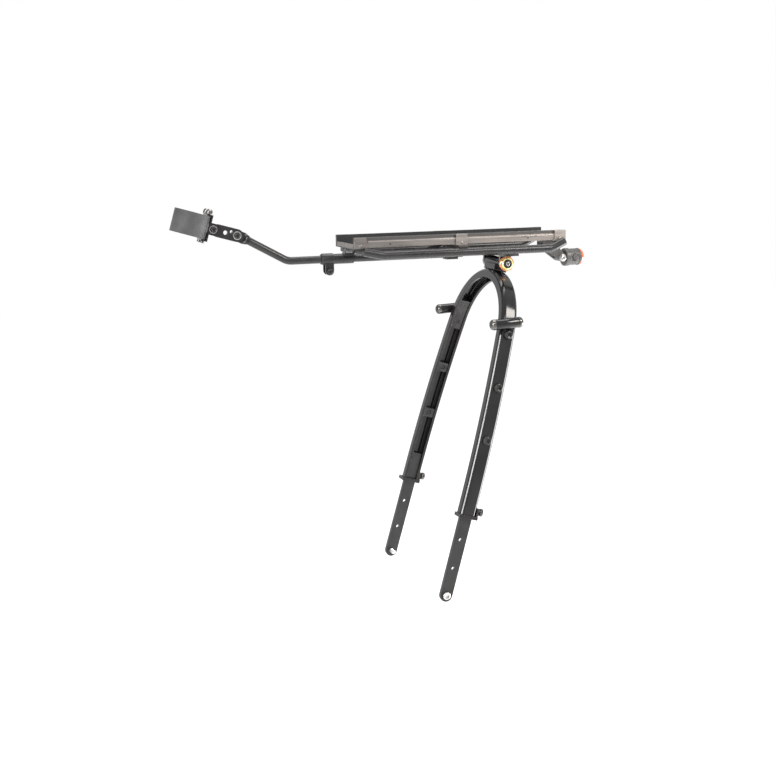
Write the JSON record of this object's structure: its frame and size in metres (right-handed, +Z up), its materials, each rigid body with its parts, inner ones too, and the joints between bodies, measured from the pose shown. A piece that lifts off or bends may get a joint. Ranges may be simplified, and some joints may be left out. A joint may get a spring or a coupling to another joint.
{
  "type": "rear rack",
  "caption": "Bicycle rear rack: a flat deck on an arched pair of telescoping legs, with a bent arm and a rubber strap to the seatpost and a small tail light.",
  "frame": {"origin": "midpoint between the two lower eyelets, on their common axis", "axes": "+X rearward along the bicycle, +Y to the bicycle's right, +Z up"},
  "size_m": [0.5164, 0.2074, 0.4606],
  "materials": {
    "black_anodised": "gloss black anodised aluminium",
    "black_steel": "black oxide steel",
    "bright_steel": "polished zinc-plated steel",
    "satin_alloy": "satin warm-grey anodised aluminium",
    "strap_rubber": "matte dark grey rubber",
    "yellow_ring": "pale yellow anodised aluminium",
    "orange_ring": "orange anodised aluminium",
    "dark_plastic": "fine-textured dark grey plastic",
    "red_lens": "clear red moulded lens"
  },
  "bodies": {
    "legs_and_arch": {"arch": "black_anodised", "arch_saddle": "black_anodised", "saddle_bolt": "black_steel", "left_leg": "black_anodised", "left_splice_block": "black_steel", "left_nut_pad_1": "black_steel", "left_nut_pad_2": "black_steel", "left_leg_bolt_1": "black_steel", "left_leg_bolt_2": "black_steel", "left_leg_bolt_3": "black_steel", "left_collar": "black_anodised", "left_peg": "black_anodised", "right_leg": "black_anodised", "right_splice_block": "black_steel", "right_nut_pad_1": "black_steel", "right_nut_pad_2": "black_steel", "right_leg_bolt_1": "black_steel", "right_leg_bolt_2": "black_steel", "right_leg_bolt_3": "black_steel", "right_collar": "black_anodised", "right_peg": "black_anodised"},
    "left_blade_body": {"left_blade": "black_anodised", "left_eyelet_bolt": "bright_steel"},
    "right_blade_body": {"right_blade": "black_anodised", "right_eyelet_bolt": "bright_steel"},
    "left_thumb_screw_body": {"left_thumb_screw": "black_steel"},
    "right_thumb_screw_body": {"right_thumb_screw": "black_steel"},
    "deck": {"left_rail": "satin_alloy", "right_rail": "satin_alloy", "left_side_tube": "black_anodised", "right_side_tube": "black_anodised", "front_plate": "satin_alloy", "middle_plate": "satin_alloy", "rear_plate": "satin_alloy", "arm_sleeve": "black_anodised", "sleeve_clamp": "black_anodised", "sleeve_clamp_bolt": "bright_steel", "pivot_bracket": "black_anodised", "pivot_pin": "bright_steel", "left_pivot_cap": "black_steel", "right_pivot_cap": "black_steel", "pivot_ring": "yellow_ring", "pivot_rim": "orange_ring", "pivot_washer": "bright_steel", "light_bracket": "dark_plastic", "light_bolt": "bright_steel"},
    "arm": {"arm_tube": "black_anodised"},
    "link": {"link_plate": "black_anodised", "link_bolt": "bright_steel"},
    "post_clamp": {"clamp_bracket": "black_anodised", "seatpost_strap": "strap_rubber", "left_strap_pin": "bright_steel", "right_strap_pin": "bright_steel", "clevis_bolt": "bright_steel"},
    "tail_light": {"light_mount": "dark_plastic", "light_body": "dark_plastic", "light_lens": "red_lens"},
    "push_button": {"light_button": "dark_plastic"}
  },
  "joints": [
    {"name": "left_blade_slide", "type": "slide", "parent": "legs_and_arch", "child": "left_blade_body", "axis": [-0.2605, -0.0174, -0.9653], "range_m": [-0.04, 0.02]},
    {"name": "right_blade_slide", "type": "slide", "parent": "legs_and_arch", "child": "right_blade_body", "axis": [-0.2605, 0.0174, -0.9653], "range_m": [-0.04, 0.02]},
    {"name": "left_thumb_screw_turn", "type": "hinge", "parent": "legs_and_arch", "child": "left_thumb_screw_body", "pos_m": [0.02709, -0.09568, 0.10041], "axis": [0.9655, 0, -0.2605], "continuous": true},
    {"name": "right_thumb_screw_turn", "type": "hinge", "parent": "legs_and_arch", "child": "right_thumb_screw_body", "pos_m": [0.02709, 0.09568, 0.10041], "axis": [0.9655, 0, -0.2605], "continuous": true},
    {"name": "deck_tilt", "type": "hinge", "parent": "legs_and_arch", "child": "deck", "pos_m": [0.103, 0, 0.38174], "axis": [0, 1, 0], "range_deg": [-12, 12]},
    {"name": "arm_slide", "type": "slide", "parent": "deck", "child": "arm", "axis": [-0.9998, 0, -0.0174], "range_m": [-0.03, 0.015]},
    {"name": "link_turn", "type": "hinge", "parent": "arm", "child": "link", "pos_m": [-0.22012, 0, 0.4201], "axis": [0, 1, 0], "range_deg": [-35, 35]},
    {"name": "post_clamp_turn", "type": "hinge", "parent": "link", "child": "post_clamp", "pos_m": [-0.24825, 0, 0.42761], "axis": [0, 1, 0], "range_deg": [-25, 25]},
    {"name": "light_tilt", "type": "hinge", "parent": "deck", "child": "tail_light", "pos_m": [0.18745, 0, 0.38541], "axis": [0, 1, 0], "range_deg": [-15, 25]},
    {"name": "button_press", "type": "slide", "parent": "tail_light", "child": "push_button", "axis": [0, 1, 0], "range_m": [0, 0.0008], "stiffness_N_per_m": 400}
  ]
}
